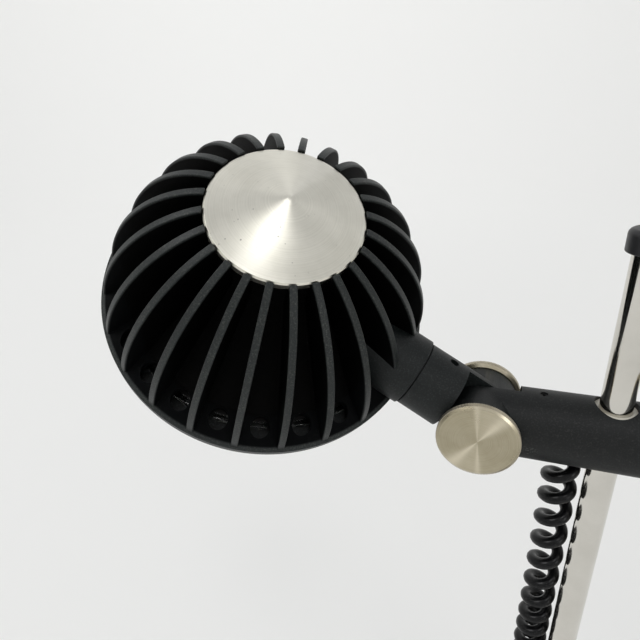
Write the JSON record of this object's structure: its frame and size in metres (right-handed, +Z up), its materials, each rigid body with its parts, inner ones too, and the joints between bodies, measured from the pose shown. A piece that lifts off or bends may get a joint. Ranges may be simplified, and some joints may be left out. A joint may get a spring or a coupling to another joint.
{
  "type": "task lamp",
  "caption": "Adjustable task lamp: finned round heat-sink head on a clamped tilt knuckle, short arm sliding on a chrome stem, curly cord, round weighted base.",
  "frame": {"origin": "centre of the underside of the base, on the stem axis, where it rests on the table", "axes": "+Z up along the stem; the arm lies along X with the head at -X; the tilt pivot is along Y"},
  "size_m": [0.2726, 0.178, 0.4984],
  "materials": {
    "black_casting": "fine texture, satin black powder coat",
    "black_base": "fine texture, satin black powder coat",
    "turned_aluminium": "turned face",
    "nickel_knob": "turned face, straight knurled rim",
    "polished_reflector": "spun and polished",
    "clear_glass": "clear",
    "quartz_glass": "clear",
    "white_ceramic": "fired",
    "zinc_steel": "zinc plated",
    "chrome_tube": "polished",
    "black_cord": "glossy",
    "black_rubber": "moulded",
    "black_plastic": "moulded",
    "brass_part": "turned",
    "nylon_part": "moulded",
    "iron_ballast": "rough cast",
    "transformer_steel": "wound strip",
    "winding_tape": "tape wrapped",
    "grey_foam": "foam"
  },
  "bodies": {
    "base": {"base_casting": "black_base", "base_plate": "zinc_steel", "base_plate_screws": "zinc_steel", "rubber_pad": "black_rubber", "ballast_ring": "iron_ballast", "transformer_core": "transformer_steel", "transformer_winding": "winding_tape", "transformer_pad": "grey_foam", "thrust_washer": "nylon_part", "switch_body": "black_plastic", "rocker_pin": "zinc_steel", "mains_inlet": "black_plastic", "inlet_blades": "brass_part"},
    "column": {"foot_collar": "black_casting", "collar_set_screw": "zinc_steel", "collar_gland": "black_rubber", "spindle_nut": "brass_part", "stem": "chrome_tube", "stem_cap": "black_plastic", "curly_cord": "black_cord"},
    "rocker": {"switch_rocker": "black_plastic"},
    "arm": {"arm_tube": "black_casting", "stem_bushes": "nylon_part", "brake_shoe": "brass_part", "clamp_bush": "brass_part", "cord_clamp_screw": "zinc_steel", "arm_gland": "black_rubber", "near_washer": "zinc_steel", "lap_washer": "nylon_part"},
    "rear_clamp": {"rear_knob": "nickel_knob", "clamp_screw": "zinc_steel"},
    "near_clamp": {"near_knob": "nickel_knob"},
    "knuckle": {"head_knuckle": "black_casting", "neck_set_screw": "zinc_steel", "neck_washer": "black_plastic", "far_washer": "zinc_steel"},
    "far_clamp": {"far_knob": "nickel_knob", "pivot_bolt": "zinc_steel"},
    "head": {"heat_sink_housing": "black_casting", "top_disc": "turned_aluminium", "reflector": "polished_reflector", "bezel_ring": "black_casting", "front_glass": "clear_glass", "bezel_screws": "zinc_steel", "socket_bracket": "zinc_steel", "bracket_screws": "zinc_steel", "lamp_socket": "white_ceramic", "halogen_capsule": "quartz_glass", "capsule_pins": "zinc_steel", "neck_spigot": "brass_part"}
  },
  "joints": [
    {"name": "column_swivel", "type": "hinge", "parent": "base", "child": "column", "pos_m": [0, 0, 0.05], "axis": [0, 0, 1], "range_deg": [-170, 170]},
    {"name": "arm_slide", "type": "slide", "parent": "column", "child": "arm", "axis": [0, 0, 1], "range_m": [-0.095, 0.045], "deforming": ["curly_cord"]},
    {"name": "head_tilt", "type": "hinge", "parent": "arm", "child": "knuckle", "pos_m": [-0.0421, 0, 0.4], "axis": [0, 1, 0], "range_deg": [-90, 30]},
    {"name": "head_roll", "type": "hinge", "parent": "knuckle", "child": "head", "pos_m": [-0.06678, 0, 0.41425], "axis": [0.866, 0, -0.5], "range_deg": [-122, 58]},
    {"name": "near_knob_turn", "type": "hinge", "parent": "arm", "child": "near_clamp", "pos_m": [-0.0421, 0, 0.4], "axis": [0, -1, 0], "range_deg": [-180, 180]},
    {"name": "far_knob_turn", "type": "hinge", "parent": "knuckle", "child": "far_clamp", "pos_m": [-0.0421, 0, 0.4], "axis": [0, 1, 0], "range_deg": [-180, 180]},
    {"name": "rear_knob_turn", "type": "hinge", "parent": "arm", "child": "rear_clamp", "pos_m": [0.02, 0, 0.4], "axis": [1, 0, 0], "range_deg": [-180, 180]},
    {"name": "rocker_press", "type": "hinge", "parent": "base", "child": "rocker", "pos_m": [-0.048, -0.036, 0.0454], "axis": [0, 1, 0], "range_deg": [-13, 0]}
  ]
}
